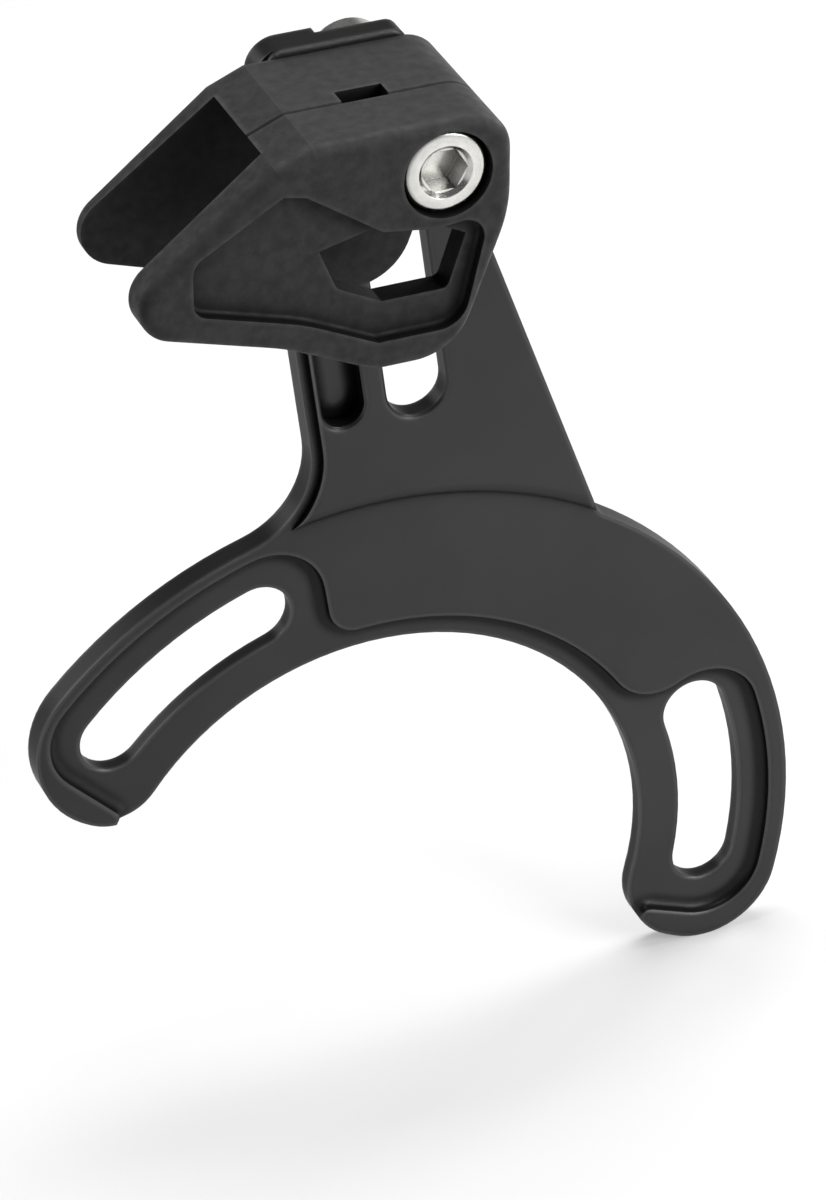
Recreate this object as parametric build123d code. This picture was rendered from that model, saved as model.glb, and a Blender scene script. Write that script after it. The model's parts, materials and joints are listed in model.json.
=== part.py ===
# Bicycle chain guide: a slotted mounting plate with an arm, and a chain cage that slides along the arm.
#
# Frame: X to the right and Z up as the plate stands, front towards -Y, millimetres.
# The origin is on the crank axis, on the plate's rear mounting face.
# A "level" is a distance in front of that rear face, and angles are in degrees from +X towards +Z.
import os
from math import cos, degrees, radians, sin, sqrt, tau

from build123d import *

# Plate: crescent and legs
OPENING_R = 29.2
PLATE_R = 45.4
PLATE_T = 2.6
LEFT_LEG_END = 152.6
LEFT_END_OUTER_R = 9.6
LEFT_END_INNER_R = 5.4
RIGHT_LEG_END = -25.0
RIGHT_END_OUTER_R = 8.0
RIGHT_END_INNER_R = 7.0
CORNER_SHARE = 0.95

# Mounting slots for M6 screws, on one circle round the crank axis
SLOT_CIRCLE_R = 37.0
SLOT_W = 6.8
LEFT_SLOT = (109.3, 138.3)
RIGHT_SLOT = (-9.3, 18.7)

# Relief round the slots, and the ledge along the opening
WEB_T = 1.6
LEDGE_W = 2.5
LEFT_RIM_W = 1.2
LEFT_RELIEF_ANGLE = 98.6
LEFT_LIP_OUTER_ANGLE = 145.5
LEFT_LIP_INNER_ANGLE = 149.6
RIGHT_RIM_W = 2.0
RIGHT_RELIEF_ANGLE = 26.5
RIGHT_LIP_ANGLE = -20.5
RELIEF_CORNER_R = 6.0
LEFT_BEND_R = 3.0
RIGHT_BEND_R = 5.0
RELIEF_COVE_R = 0.9
LIP_R = 0.8

# Arm
ARM_T = 3.2
ARM_TOP = 97.2
ARM_TILT = 7.3
ARM_LEFT = 11.3
ARM_LEDGE_W = 1.0
ARM_RIGHT_TOP = (2.3, 97.2)
ARM_FOOT_ANGLE = 59.04
ARM_NECK_R = 9.0
ARM_FOOT_R = 3.0
ARM_LEFT_CORNER_R = 3.0
ARM_RIGHT_CORNER_R = 1.5
ARM_STEP_R = 45.6
ARM_STEP_EDGE_R = 2.0
ARM_SLOT_EDGE = 0.25
EDGE_ANGLE = 45.0

# Slide: the bolt's rest place and its travel along the arm
BOLT_X = -0.4
BOLT_Z = 91.1
TRAVEL_DOWN = 33.2
TRAVEL_UP = 1.0
SLIDE_GAP = 0.05

# Clamp bolt and nut
BOLT_D = 5.0
THREAD_GAP = 0.05
HEAD_D = 8.2
HEAD_H = 4.6
HEAD_EDGE_R = 0.5
HEAD_SINK = 0.6
HEX_AF = 4.0
HEX_DEPTH = 2.6
SINK_D = 5.3
SINK_DEPTH = 0.4
NUT_D = 8.2
NUT_BACK = 4.6
NUT_EDGE = 0.5
SHOULDER_D = 6.0
SHOULDER_GAP = 0.1
SHOULDER_H = 1.3

# Channel for the nut at the back of the arm, and the blind groove for the key at the front
CHANNEL_DEPTH = 1.0
NUT_GAP = 0.2
GROOVE_OFFSET = 7.6
GROOVE_W = 4.4
GROOVE_FLOOR = 1.0
KEY_GAP = 0.1
KEY_L = 5.2
KEY_ALONG = 0.8
KEY_DEPTH = 1.8

# Cage: levels of its plates and its parting face
INNER_T = 2.0
INNER_TIP_T = 0.8
PARTING = 13.3
PARTING_EDGE = 0.25
OUTER_BACK = 16.9
CAGE_FRONT = 20.6
CAGE_EDGE_R = 1.2

# Cage: outline of both plates, as seen from the front
ROOF_Z = 96.5
ROOF_LEFT = -13.5
BEVEL_LEFT = (-17.1, 95.0)
NOSE = (-34.1, 81.3)
NOSE_R = 3.6
CHIN = (-16.2, 76.0)
CHIN_R = 20.0
HEEL = (-7.5, 71.9)
HEEL_R = 5.0
TOE = (0.65, 71.9)
TOE_R = 6.0
HIP = (6.05, 86.0)
HIP_R = 14.0
ROOF_RIGHT_R = 4.1

# Cage: underside of the block that joins the two plates
BLOCK_LEFT = (-14.2, 91.7)
BLOCK_MID = (-6.8, 86.6)
BLOCK_RIGHT = (-1.5, 85.8)

# Outer guide: recess in its front face, and the window in the recess
RECESS_FLOOR = 19.4
RECESS_COVE_R = 0.4
RECESS_TOP_LEFT = (-16.4, 92.2)
RECESS_NOSE = (-25.2, 87.0)
RECESS_NOSE_R = 1.8
RECESS_LEFT = (-25.2, 81.8)
RECESS_LEFT_R = 1.6
RECESS_CHIN = (-14.5, 78.6)
RECESS_HEEL = (-7.3, 75.1)
RECESS_TOE = (1.1, 75.1)
RECESS_TOE_R = 3.0
RECESS_TOP_RIGHT = (3.8, 86.4)
RECESS_TOP_R = 2.0
WINDOW_LEFT = (-12.6, 85.2)
WINDOW_CHIN = (-10.9, 81.0)
WINDOW_HEEL = (-6.5, 78.7)
WINDOW_TOE = (0.0, 78.7)
WINDOW_RIGHT = (1.8, 84.1)
WINDOW_R = 0.8
COUNTERBORE_GAP = 0.5
BOLT_HOLE_GAP = 0.15

# Notch in the roof, on the rear half's parting face
NOTCH_X = -5.5
NOTCH_W = 4.6
NOTCH_L = 2.0
NOTCH_DEPTH = 5.0


def slab(sketch, low, high):
    """Extrude a front-view sketch from one level to another."""
    return extrude(Plane.XZ.offset(low) * sketch, high - low)


def polar(radius, angle):
    return (radius * cos(radians(angle)), radius * sin(radians(angle)))


def on_arm(along, across=0.0):
    """Point of the arm's own axes: up along the slot from the bolt, and to the right of it."""
    tilt = radians(ARM_TILT)
    x = BOLT_X - along * sin(tilt) + across * cos(tilt)
    z = BOLT_Z + along * cos(tilt) + across * sin(tilt)
    return (x, z)


def round_corners(face, radii):
    """Round the corner of a flat face that lies nearest to each point."""
    for point, radius in radii.items():
        corner = face.vertices().sort_by_distance((*point, 0))[0]
        face = fillet(corner, radius)
    return face


def rounded(points, radii):
    """Closed outline with a radius at each named corner."""
    return round_corners(make_face(Polyline(*points, close=True)), radii)


def fitted(room, *radii):
    """The radii of two corners on one edge, made smaller together where the edge has no room for them."""
    share = min(1, CORNER_SHARE * room / sum(radii))
    return [radius * share for radius in radii]


def arc(radius, start_angle, end_angle):
    """Arc about the crank axis."""
    return CenterArc((0, 0), radius, start_angle, end_angle - start_angle)


def ring_part(inner_r, outer_r, start_angle, end_angle):
    """Part of a ring about the crank axis."""
    inner, outer = [arc(radius, start_angle, end_angle) for radius in (inner_r, outer_r)]
    return make_face([outer, Line(outer @ 1, inner @ 1), inner, Line(inner @ 0, outer @ 0)])


def arc_slot(angles):
    band = ring_part(SLOT_CIRCLE_R - SLOT_W / 2, SLOT_CIRCLE_R + SLOT_W / 2, *angles)
    for angle in angles:
        band += Pos(*polar(SLOT_CIRCLE_R, angle)) * Circle(SLOT_W / 2)
    return band


def straight_slot(bottom, top, across, width):
    """Round-ended slot along the arm, between two end centres."""
    middle = on_arm((bottom + top) / 2, across)
    return Pos(*middle) * Rot(0, 0, ARM_TILT) * SlotCenterToCenter(top - bottom, width, rotation=90)


def at_bolt(radius, low, high):
    return slab(Pos(BOLT_X, BOLT_Z) * Circle(radius), low, high)


def crescent():
    """Ring sector round the crank opening, with rounded leg ends."""
    band = ring_part(OPENING_R, PLATE_R, RIGHT_LEG_END, LEFT_LEG_END)
    leg_w = PLATE_R - OPENING_R
    left_outer_r, left_inner_r = fitted(leg_w, LEFT_END_OUTER_R, LEFT_END_INNER_R)
    right_outer_r, right_inner_r = fitted(leg_w, RIGHT_END_OUTER_R, RIGHT_END_INNER_R)
    corners = {
        polar(PLATE_R, LEFT_LEG_END): left_outer_r,
        polar(OPENING_R, LEFT_LEG_END): left_inner_r,
        polar(PLATE_R, RIGHT_LEG_END): right_outer_r,
        polar(OPENING_R, RIGHT_LEG_END): right_inner_r,
    }
    return round_corners(band, corners)


def arm(inset):
    """Arm outline, down into the crescent, with its left edge moved in."""
    tilt = radians(ARM_TILT)
    across = inset - ARM_LEFT
    top_along = (ARM_TOP - BOLT_Z - across * sin(tilt)) / cos(tilt)
    top_left = on_arm(top_along, across)
    depth = PLATE_R - SLOT_CIRCLE_R
    left_foot = on_arm(SLOT_CIRCLE_R - BOLT_Z, across)
    right_edge = Line(ARM_RIGHT_TOP, polar(PLATE_R, ARM_FOOT_ANGLE))
    right_foot = right_edge @ 1 + right_edge % 1 * depth
    points = [left_foot, top_left, ARM_RIGHT_TOP, right_foot]
    return rounded(points, {top_left: ARM_LEFT_CORNER_R - inset, ARM_RIGHT_TOP: ARM_RIGHT_CORNER_R})


def with_arm(base, inset):
    """Join the arm to the crescent's outline, with the left edge moved in."""
    neck = on_arm(PLATE_R - BOLT_Z, inset - ARM_LEFT)
    foot = polar(PLATE_R, ARM_FOOT_ANGLE)
    return round_corners(base + arm(inset), {neck: ARM_NECK_R + inset, foot: ARM_FOOT_R})


def relief():
    """Cutter for the relief round both slots and the ledge along the opening, with a cove along its floor."""
    ledge_r = OPENING_R + LEDGE_W
    left_r = PLATE_R - LEFT_RIM_W
    right_r = PLATE_R - RIGHT_RIM_W
    right = arc(right_r, RIGHT_LIP_ANGLE, RIGHT_RELIEF_ANGLE)
    ledge = arc(ledge_r, RIGHT_RELIEF_ANGLE, LEFT_RELIEF_ANGLE)
    left = arc(left_r, LEFT_RELIEF_ANGLE, LEFT_LIP_OUTER_ANGLE)
    below = arc(ledge_r, LEFT_LIP_INNER_ANGLE, RIGHT_LIP_ANGLE + degrees(tau))
    arcs = [right, ledge, left, below]
    ends = [Line(one @ 1, other @ 0) for one, other in zip(arcs, [ledge, left, below, right])]
    left_corner_r, left_bend_r = fitted(left_r - ledge_r, RELIEF_CORNER_R, LEFT_BEND_R)
    right_corner_r, right_bend_r = fitted(right_r - ledge_r, RELIEF_CORNER_R, RIGHT_BEND_R)
    corners = {
        right @ 0: right_corner_r,
        right @ 1: right_corner_r,
        ledge @ 0: right_bend_r,
        ledge @ 1: left_bend_r,
        left @ 0: left_corner_r,
        left @ 1: left_corner_r,
        below @ 0: LIP_R,
        below @ 1: LIP_R,
    }
    cutter = slab(round_corners(make_face(arcs + ends), corners), WEB_T, ARM_T)
    return fillet(cutter.faces().sort_by(Axis.Y)[-1].edges(), RELIEF_COVE_R)


def arm_pad():
    """Raised face of the arm, which rounds down to the crescent."""
    pad = slab(with_arm(Circle(PLATE_R - ARM_LEDGE_W), ARM_LEDGE_W), PLATE_T, ARM_T)
    step_h = ARM_T - PLATE_T
    top_r = ARM_STEP_R + sqrt(2 * ARM_STEP_EDGE_R * step_h - step_h**2)
    foot, top = (ARM_STEP_R, -PLATE_T), (top_r, -ARM_T)
    edge = TangentArc(top, foot, tangent=(-1, 0))
    inside = Polyline(foot, (0, -PLATE_T), (0, -ARM_T), top)
    return pad - revolve(make_face([edge, inside]), Axis.Y)


def key_slot(bottom, top, width):
    """Outline along the key's line, between two end places of a key-sized slot."""
    reach = (KEY_L - GROOVE_W) / 2
    return straight_slot(KEY_ALONG + bottom - reach, KEY_ALONG + top + reach, -GROOVE_OFFSET, width)


def flare(slot, level):
    """Cutter for the broken edge of a slot at a face."""
    return extrude(Plane.XZ.offset(level - ARM_SLOT_EDGE) * slot, ARM_SLOT_EDGE, taper=-EDGE_ANGLE)


def make_backplate():
    outline = with_arm(crescent(), 0) - arc_slot(LEFT_SLOT) - arc_slot(RIGHT_SLOT)
    slide = straight_slot(-TRAVEL_DOWN, TRAVEL_UP, 0, SHOULDER_D + 2 * SHOULDER_GAP)
    channel_top = ARM_TOP - BOLT_Z + NUT_D
    channel = straight_slot(-TRAVEL_DOWN, channel_top, 0, NUT_D + 2 * NUT_GAP)
    groove = key_slot(-TRAVEL_DOWN, TRAVEL_UP, GROOVE_W)
    body = slab(outline, 0, PLATE_T) + arm_pad()
    body -= slab(slide, 0, ARM_T) + flare(slide, ARM_T)
    body -= slab(channel, 0, CHANNEL_DEPTH)
    body -= slab(groove, GROOVE_FLOOR, ARM_T) + flare(groove, ARM_T)
    return body - relief()


def cage_outline():
    roof_left = (ROOF_LEFT, ROOF_Z)
    roof_right = (HIP[0], ROOF_Z)
    points = [roof_left, BEVEL_LEFT, NOSE, CHIN, HEEL, TOE, HIP, roof_right]
    radii = {NOSE: NOSE_R, CHIN: CHIN_R, HEEL: HEEL_R, TOE: TOE_R, HIP: HIP_R, roof_right: ROOF_RIGHT_R}
    return rounded(points, radii)


def block_outline():
    """The part of the cage outline above the chain."""
    far = 2 * CAGE_FRONT
    over = make_face(Polyline(BEVEL_LEFT, BLOCK_LEFT, BLOCK_MID, BLOCK_RIGHT, (HIP[0] + far, BLOCK_RIGHT[1]),
                              (HIP[0] + far, ROOF_Z + far), (BEVEL_LEFT[0], ROOF_Z + far), close=True))
    return cage_outline() & over


def recess():
    """Cutter for the recess in the front face, with a cove along its floor."""
    low = [RECESS_NOSE, RECESS_LEFT, RECESS_CHIN, RECESS_HEEL, RECESS_TOE]
    high = [RECESS_TOP_RIGHT, BLOCK_RIGHT, BLOCK_MID, BLOCK_LEFT, RECESS_TOP_LEFT]
    radii = {
        RECESS_NOSE: RECESS_NOSE_R,
        RECESS_LEFT: RECESS_LEFT_R,
        RECESS_CHIN: CHIN_R,
        RECESS_TOE: RECESS_TOE_R,
        RECESS_TOP_RIGHT: RECESS_TOP_R,
    }
    cutter = slab(rounded(low + high, radii), RECESS_FLOOR, CAGE_FRONT)
    return fillet(cutter.faces().sort_by(Axis.Y)[-1].edges(), RECESS_COVE_R)


def make_outer_guide():
    window_low = [WINDOW_LEFT, WINDOW_CHIN, WINDOW_HEEL, WINDOW_TOE, WINDOW_RIGHT]
    window = rounded(window_low + [BLOCK_RIGHT, BLOCK_MID], {WINDOW_CHIN: WINDOW_R, WINDOW_TOE: WINDOW_R})
    body = slab(cage_outline(), OUTER_BACK, CAGE_FRONT)
    body = fillet(body.faces().sort_by(Axis.Y)[0].edges(), CAGE_EDGE_R)
    block = slab(block_outline(), PARTING, OUTER_BACK)
    body += chamfer(block.faces().sort_by(Axis.Y)[-1].edges(), PARTING_EDGE)
    body -= recess()
    body -= slab(window, OUTER_BACK, CAGE_FRONT)
    body -= at_bolt(BOLT_D / 2 + BOLT_HOLE_GAP, PARTING, CAGE_FRONT)
    body -= at_bolt((HEAD_D + COUNTERBORE_GAP) / 2, CAGE_FRONT - HEAD_SINK - HEAD_H, CAGE_FRONT)
    return body


def make_inner_guide():
    back = ARM_T + SLIDE_GAP
    front = ARM_T + INNER_T
    tip = (NOSE[0], -back - INNER_TIP_T)
    lead_in = make_face(Polyline((BEVEL_LEFT[0], -front), (NOSE[0], -front), tip, close=True))
    body = slab(cage_outline(), back, front) - extrude(lead_in, ROOF_Z)
    block = slab(block_outline(), front, PARTING)
    body += chamfer(block.faces().sort_by(Axis.Y)[0].edges(), PARTING_EDGE)
    notch = Pos(NOTCH_X, ROOF_Z - NOTCH_DEPTH / 2) * Rectangle(NOTCH_W, NOTCH_DEPTH)
    body -= slab(notch, PARTING - NOTCH_L, PARTING)
    body -= at_bolt(BOLT_D / 2 + BOLT_HOLE_GAP, back, PARTING)
    body += slab(key_slot(0, 0, GROOVE_W - 2 * KEY_GAP), back - KEY_DEPTH, back)
    return body


def make_clamp_bolt():
    top = CAGE_FRONT - HEAD_SINK
    head = at_bolt(HEAD_D / 2, top - HEAD_H, top)
    head = fillet(head.faces().sort_by(Axis.Y)[0].edges(), HEAD_EDGE_R)
    shank = at_bolt(BOLT_D / 2 - THREAD_GAP, -NUT_BACK, top - HEAD_H)
    socket = Pos(BOLT_X, BOLT_Z) * RegularPolygon(HEX_AF / 2, 6, major_radius=False)
    sink = Plane.XZ.offset(top) * Pos(BOLT_X, BOLT_Z) * Circle(SINK_D / 2)
    return head + shank - slab(socket, top - HEX_DEPTH, top) - extrude(sink, -SINK_DEPTH, taper=EDGE_ANGLE)


def make_clamp_nut():
    seat = CHANNEL_DEPTH - SLIDE_GAP
    flange = at_bolt(NUT_D / 2, -NUT_BACK, seat)
    flange = chamfer(flange.faces().sort_by(Axis.Y)[-1].edges(), NUT_EDGE)
    shoulder = at_bolt(SHOULDER_D / 2, seat, seat + SHOULDER_H)
    return flange + shoulder - at_bolt(BOLT_D / 2, -NUT_BACK, seat + SHOULDER_H)


os.makedirs("parts", exist_ok=True)
NODES = {
    "backplate": make_backplate,
    "inner_guide": make_inner_guide,
    "outer_guide": make_outer_guide,
    "clamp_bolt": make_clamp_bolt,
    "clamp_nut": make_clamp_nut,
}
for name, make in NODES.items():
    export_step(make(), f"parts/{name}.step")
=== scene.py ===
import json
from math import cos, sin, tau

import bpy
from mathutils import Matrix, Vector


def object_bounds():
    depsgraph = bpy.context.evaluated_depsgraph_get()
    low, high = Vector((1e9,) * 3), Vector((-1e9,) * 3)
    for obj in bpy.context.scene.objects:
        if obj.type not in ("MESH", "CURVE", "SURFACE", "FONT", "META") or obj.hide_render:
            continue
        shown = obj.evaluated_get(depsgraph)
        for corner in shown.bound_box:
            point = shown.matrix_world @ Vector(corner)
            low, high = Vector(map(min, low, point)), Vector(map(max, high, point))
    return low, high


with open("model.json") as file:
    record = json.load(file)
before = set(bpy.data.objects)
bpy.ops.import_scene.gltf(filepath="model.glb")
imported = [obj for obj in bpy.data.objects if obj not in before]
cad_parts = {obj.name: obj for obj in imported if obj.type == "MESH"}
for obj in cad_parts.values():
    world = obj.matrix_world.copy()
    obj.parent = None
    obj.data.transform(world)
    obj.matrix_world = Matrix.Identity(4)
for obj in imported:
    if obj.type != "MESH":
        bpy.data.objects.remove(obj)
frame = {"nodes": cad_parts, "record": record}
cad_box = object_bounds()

WHITE = (1.0, 1.0, 1.0, 1.0)

# Camera, in the part's frame: place in metres, and the directions to the right and upwards in the picture
CAMERA_PLACE = Vector((-0.18659, -0.45797, 0.35416))
CAMERA_RIGHT = Vector((0.92273, -0.38545, 0.0))
CAMERA_UP = Vector((0.20998, 0.50267, 0.83859))
CAMERA_LENS_MM = 180.0
CAMERA_SENSOR_MM = 36.0

# Floor: a round sheet with an upright rim, in metres
FLOOR_R = 3.0
FLOOR_RIM = 0.9
FLOOR_SIDES = 96
FLOOR_COLOUR = (0.45, 0.45, 0.45, 1.0)
FLOOR_ROUGHNESS = 0.25
FLOOR_SPECULAR = 1.0

# Glow that brings the floor up to white, near the part and away from it, and the distances where it grows
NEAR_GLOW = 0.34
FAR_GLOW = 0.68
GLOW_DISTANCES = (0.25, 1.2)

# Softboxes: direction from the part, width and height in metres, and power in watts
LIGHT_DISTANCE = 0.7
SOFTBOXES = {
    "key": ((0.58, -0.68, 0.42), (0.40, 0.40), 4.4),
    "top": ((0.0, 0.15, 0.99), (0.50, 0.40), 6.0),
    "rim": ((0.88, 0.30, 0.35), (0.25, 0.40), 3.4),
    "side": ((-0.55, 0.78, 0.28), (0.35, 0.25), 0.45),
}
WORLD_STRENGTH = 0.16

# Anodised plate: colours, noise as cells per metre and detail, bump as strength and height in metres
PLATE_COLOURS = ((0.030, 0.030, 0.0302, 1.0), (0.035, 0.035, 0.0352, 1.0))
PLATE_CLOUD = (60.0, 4.0)
PLATE_GRAIN = (9000.0, 2.0)
PLATE_BUMP = (0.12, 0.00003)
PLATE_ROUGHNESS = (0.28, 0.36)
PLATE_DULLNESS = (0.80, 0.20)
PLATE_METALLIC = 0.75
PLATE_GRAZING_TINT = (0.42, 0.42, 0.42, 1.0)

# Moulded nylon, in the same units
NYLON_COLOURS = ((0.017, 0.017, 0.0172, 1.0), (0.025, 0.025, 0.0252, 1.0))
NYLON_CLOUD = (900.0, 8.0)
NYLON_GRAIN = (5200.0, 3.0)
NYLON_BUMP = (0.35, 0.00006)
NYLON_ROUGHNESS = (0.68, 0.55)
NYLON_SPECULAR = 0.20

# Bright steel, in the same units
STEEL_COLOURS = ((0.50, 0.495, 0.475, 1.0), (0.58, 0.575, 0.55, 1.0))
STEEL_CLOUD = (700.0, 4.0)
STEEL_GRAIN = (12000.0, 2.0)
STEEL_BUMP = (0.10, 0.00002)
STEEL_ROUGHNESS = (0.16, 0.30)
STEEL_METALLIC = 1.0

# Axis across the front and back faces, and width of the rounded edges round them, in metres
FACE_AXIS = (0.0, 1.0, 0.0)
PLATE_EDGE = 0.0009
NYLON_EDGE = 0.0002
STEEL_EDGE = 0.00015

# Reach of the shade in hollows, in metres, and the share of the colour that is left there
PLATE_HOLLOW = 0.0017
PLATE_SHADE = 0.03
NYLON_HOLLOW = 0.018
NYLON_SHADE = 0.15
STEEL_HOLLOW = 0.0015
STEEL_SHADE = 0.55

# Reach of the lighter colour along outer edges, a painted highlight that also stands for rubbed edges, in
# metres, and how many times lighter the colour is there
HIGHLIGHT_AND_WEAR_REACH = 0.0005
PLATE_HIGHLIGHT_AND_WEAR = 2.6
NYLON_HIGHLIGHT_AND_WEAR = 1.8
STEEL_HIGHLIGHT_AND_WEAR = 1.1

# Bands of a node's value over which a finish changes, its painted shade and its painted edge highlight
# among them
CLOUD_BAND = (0.35, 0.65)
GRAIN_BAND = (0.3, 0.7)
SHADE_BAND = (0.66, 0.98)
PLATE_SHADE_BAND = (0.73, 0.98)
DULLNESS_BAND = (0.80, 0.99)
HIGHLIGHT_AND_WEAR_BAND = (0.60, 0.95)
FACING_BAND = (0.7, 0.9)

# Rays for each point's openness, and for each point's rounded edge
OPENNESS_RAYS = 5
EDGE_RAYS = 4


def new_material(name):
    """Material with its node tree and its Principled shader."""
    material = bpy.data.materials.new(name)
    material.use_nodes = True
    return material, material.node_tree, material.node_tree.nodes["Principled BSDF"]


def add(tree, kind, **settings):
    """Add a node; settings with a leading capital are input sockets, the others are properties."""
    node = tree.nodes.new(kind)
    for key, value in settings.items():
        if key[0].isupper():
            node.inputs[key.replace("_", " ")].default_value = value
        else:
            setattr(node, key, value)
    return node


def noise(tree, cells, detail):
    """Noise in the part's own space."""
    place = add(tree, "ShaderNodeTexCoord")
    texture = add(tree, "ShaderNodeTexNoise", Scale=cells, Detail=detail)
    tree.links.new(place.outputs["Object"], texture.inputs["Vector"])
    return texture.outputs["Fac"]


def remap(tree, value, band, target):
    """Value taken from one band to another."""
    low, high = band
    start, end = target
    node = add(tree, "ShaderNodeMapRange", From_Min=low, From_Max=high, To_Min=start, To_Max=end)
    tree.links.new(value, node.inputs["Value"])
    return node.outputs["Result"]


def ramp(tree, value, band, colours):
    """Colour that goes from one to another as a value crosses a band."""
    node = add(tree, "ShaderNodeValToRGB")
    for element, place, colour in zip(node.color_ramp.elements, band, colours):
        element.position = place
        element.color = colour
    tree.links.new(value, node.inputs["Fac"])
    return node.outputs["Color"]


def combined(tree, operation, first, second):
    node = add(tree, "ShaderNodeMath", operation=operation)
    tree.links.new(first, node.inputs[0])
    tree.links.new(second, node.inputs[1])
    return node.outputs["Value"]


def scaled(tree, colour, share):
    node = add(tree, "ShaderNodeVectorMath", operation="SCALE")
    tree.links.new(colour, node.inputs["Vector"])
    tree.links.new(share, node.inputs["Scale"])
    return node.outputs["Vector"]


def openness(tree, reach, **settings):
    """1 on open faces, less in hollows and inner corners; from inside, less along outer edges."""
    node = add(tree, "ShaderNodeAmbientOcclusion", samples=OPENNESS_RAYS, Distance=reach, **settings)
    return node.outputs["AO"]


def painted_shade_and_highlight(tree, colour, darker, highlight_and_wear):
    """Colour with painted shade in hollows, a darker share of itself, and a painted highlight along outer
    edges, a lighter share that also stands for rubbed edges.
    """
    edge = openness(tree, HIGHLIGHT_AND_WEAR_REACH, inside=True, only_local=True)
    lighter = remap(tree, edge, HIGHLIGHT_AND_WEAR_BAND, (highlight_and_wear, 1.0))
    return scaled(tree, scaled(tree, colour, darker), lighter)


def rounded_edges(tree, width):
    """Normal that is rounded off along the edges of the front and back faces."""
    geometry = add(tree, "ShaderNodeNewGeometry")
    facing = add(tree, "ShaderNodeVectorMath", operation="DOT_PRODUCT")
    facing.inputs[1].default_value = FACE_AXIS
    either_way = add(tree, "ShaderNodeMath", operation="ABSOLUTE")
    bevel = add(tree, "ShaderNodeBevel", samples=EDGE_RAYS)
    radius = remap(tree, either_way.outputs["Value"], FACING_BAND, (0.0, width))
    tree.links.new(geometry.outputs["True Normal"], facing.inputs[0])
    tree.links.new(facing.outputs["Value"], either_way.inputs[0])
    tree.links.new(radius, bevel.inputs["Radius"])
    return bevel.outputs["Normal"]


def bump(tree, height, strength, distance, edge):
    """Normal with a fine relief, on top of the rounded edges."""
    node = add(tree, "ShaderNodeBump", Strength=strength, Distance=distance)
    tree.links.new(height, node.inputs["Height"])
    tree.links.new(rounded_edges(tree, edge), node.inputs["Normal"])
    return node.outputs["Normal"]


def anodised_aluminium():
    """Black anodised aluminium: a dark satin skin with a fine blasted grain, dull and darker with painted
    shade in its hollows, and lighter along its outer edges with a painted highlight that also stands for
    rubbed edges.
    """
    material, tree, shader = new_material("anodised_black")
    colour = ramp(tree, noise(tree, *PLATE_CLOUD), CLOUD_BAND, PLATE_COLOURS)
    grain = noise(tree, *PLATE_GRAIN)
    open_share = openness(tree, PLATE_HOLLOW, only_local=True)
    darker = remap(tree, open_share, PLATE_SHADE_BAND, (PLATE_SHADE, 1.0))
    satin = remap(tree, grain, GRAIN_BAND, PLATE_ROUGHNESS)
    dull = remap(tree, open_share, DULLNESS_BAND, PLATE_DULLNESS)
    tree.links.new(painted_shade_and_highlight(tree, colour, darker, PLATE_HIGHLIGHT_AND_WEAR), shader.inputs["Base Color"])
    tree.links.new(combined(tree, "MAXIMUM", satin, dull), shader.inputs["Roughness"])
    tree.links.new(bump(tree, grain, *PLATE_BUMP, PLATE_EDGE), shader.inputs["Normal"])
    shader.inputs["Metallic"].default_value = PLATE_METALLIC
    shader.inputs["Specular Tint"].default_value = PLATE_GRAZING_TINT
    return material


def moulded_nylon():
    """Black moulded nylon: matt, with a fine spark-eroded grain and faint flow marks, painted shade in
    its hollows and near other parts, and a painted highlight along its outer edges that also stands for
    rubbed edges.
    """
    material, tree, shader = new_material("black_nylon")
    cloud = noise(tree, *NYLON_CLOUD)
    colour = ramp(tree, cloud, CLOUD_BAND, NYLON_COLOURS)
    grain = noise(tree, *NYLON_GRAIN)
    darker = remap(tree, openness(tree, NYLON_HOLLOW), SHADE_BAND, (NYLON_SHADE, 1.0))
    tree.links.new(painted_shade_and_highlight(tree, colour, darker, NYLON_HIGHLIGHT_AND_WEAR), shader.inputs["Base Color"])
    tree.links.new(remap(tree, cloud, CLOUD_BAND, NYLON_ROUGHNESS), shader.inputs["Roughness"])
    tree.links.new(bump(tree, grain, *NYLON_BUMP, NYLON_EDGE), shader.inputs["Normal"])
    shader.inputs["Specular IOR Level"].default_value = NYLON_SPECULAR
    return material


def bright_steel():
    """Bright zinc-plated steel with a fine turned grain, darker with painted shade in its hollows and
    near other parts, and a faint painted highlight along its outer edges that also stands for rubbed
    edges.
    """
    material, tree, shader = new_material("bright_steel")
    colour = ramp(tree, noise(tree, *STEEL_CLOUD), GRAIN_BAND, STEEL_COLOURS)
    grain = noise(tree, *STEEL_GRAIN)
    darker = remap(tree, openness(tree, STEEL_HOLLOW), SHADE_BAND, (STEEL_SHADE, 1.0))
    tree.links.new(painted_shade_and_highlight(tree, colour, darker, STEEL_HIGHLIGHT_AND_WEAR), shader.inputs["Base Color"])
    tree.links.new(remap(tree, grain, GRAIN_BAND, STEEL_ROUGHNESS), shader.inputs["Roughness"])
    tree.links.new(bump(tree, grain, *STEEL_BUMP, STEEL_EDGE), shader.inputs["Normal"])
    shader.inputs["Metallic"].default_value = STEEL_METALLIC
    return material


def dress_nodes():
    finishes = {
        "anodised_black": anodised_aluminium(),
        "black_nylon": moulded_nylon(),
        "bright_steel": bright_steel(),
    }
    for row in frame["record"]["subparts"]:
        piece = frame["nodes"][row["node"]]
        for slot in piece.material_slots:
            slot.material = finishes[row["material_slot"]]


def seen_directly(tree):
    """1 for rays that show the stage itself: from the camera, in a mirror or through glass."""
    path = add(tree, "ShaderNodeLightPath")
    seen = path.outputs["Is Camera Ray"]
    for ray in ("Is Glossy Ray", "Is Transmission Ray"):
        seen = combined(tree, "MAXIMUM", seen, path.outputs[ray])
    return seen


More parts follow.
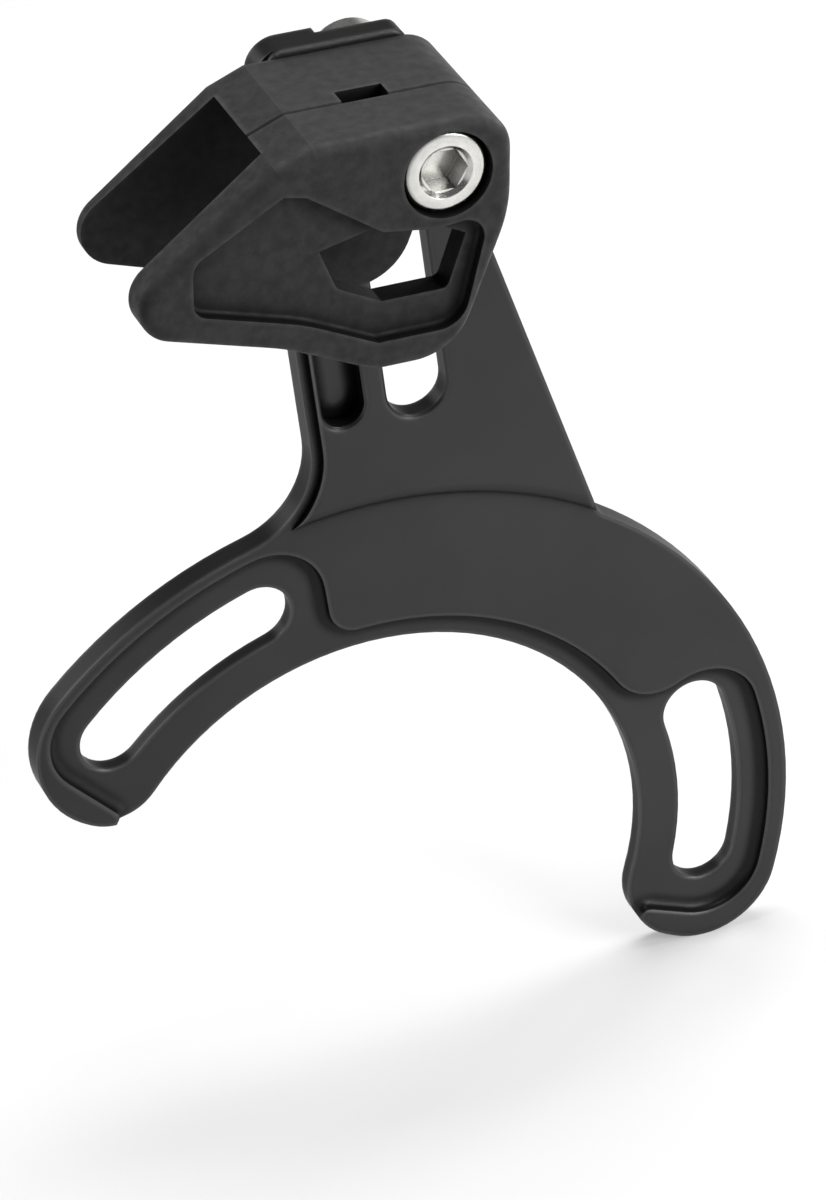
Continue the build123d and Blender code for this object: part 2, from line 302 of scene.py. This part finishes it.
def floor_glow(tree):
    """Glow of the floor for the rays that show it, stronger away from the part, where the lamps fade."""
    place = add(tree, "ShaderNodeTexCoord")
    distance = add(tree, "ShaderNodeVectorMath", operation="LENGTH")
    tree.links.new(place.outputs["Object"], distance.inputs[0])
    glow = remap(tree, distance.outputs["Value"], GLOW_DISTANCES, (NEAR_GLOW, FAR_GLOW))
    return combined(tree, "MULTIPLY", glow, seen_directly(tree))


def floor_finish():
    material, tree, shader = new_material("floor")
    shader.inputs["Base Color"].default_value = FLOOR_COLOUR
    shader.inputs["Roughness"].default_value = FLOOR_ROUGHNESS
    shader.inputs["Specular IOR Level"].default_value = FLOOR_SPECULAR
    shader.inputs["Emission Color"].default_value = WHITE
    tree.links.new(floor_glow(tree), shader.inputs["Emission Strength"])
    return material


def make_floor():
    level = cad_box[0][2]
    around = [tau * side / FLOOR_SIDES for side in range(FLOOR_SIDES)]
    ring = [(FLOOR_R * cos(angle), FLOOR_R * sin(angle)) for angle in around]
    corners = [(x, y, level) for x, y in ring] + [(x, y, level + FLOOR_RIM) for x, y in ring]
    faces = [list(range(FLOOR_SIDES))]
    for side in range(FLOOR_SIDES):
        after = (side + 1) % FLOOR_SIDES
        faces.append([side, after, FLOOR_SIDES + after, FLOOR_SIDES + side])
    mesh = bpy.data.meshes.new("floor")
    mesh.from_pydata(corners, [], faces)
    mesh.materials.append(floor_finish())
    floor = bpy.data.objects.new("floor", mesh)
    bpy.context.scene.collection.objects.link(floor)


def make_world():
    world = bpy.data.worlds.new("studio")
    world.use_nodes = True
    background = world.node_tree.nodes["Background"]
    background.inputs["Color"].default_value = WHITE
    background.inputs["Strength"].default_value = WORLD_STRENGTH
    bpy.context.scene.world = world


def make_lights():
    middle = (Vector(cad_box[0]) + Vector(cad_box[1])) / 2
    for name, (direction, size, watts) in SOFTBOXES.items():
        data = bpy.data.lights.new(name, "AREA")
        data.shape = "RECTANGLE"
        data.size, data.size_y = size
        data.energy = watts
        lamp = bpy.data.objects.new(name, data)
        towards = Vector(direction).normalized()
        lamp.location = middle + towards * LIGHT_DISTANCE
        lamp.rotation_euler = (-towards).to_track_quat("-Z", "Y").to_euler()
        bpy.context.scene.collection.objects.link(lamp)


def make_camera():
    data = bpy.data.cameras.new("camera")
    data.sensor_fit = "VERTICAL"
    data.sensor_height = CAMERA_SENSOR_MM
    data.lens = CAMERA_LENS_MM
    camera = bpy.data.objects.new("camera", data)
    back = CAMERA_RIGHT.cross(CAMERA_UP)
    turn = Matrix((CAMERA_RIGHT, CAMERA_UP, back)).transposed().to_4x4()
    camera.matrix_world = Matrix.Translation(CAMERA_PLACE) @ turn
    bpy.context.scene.collection.objects.link(camera)
    bpy.context.scene.camera = camera


dress_nodes()
make_floor()
make_world()
make_lights()
make_camera()
bpy.context.scene.view_settings.view_transform = "Standard"
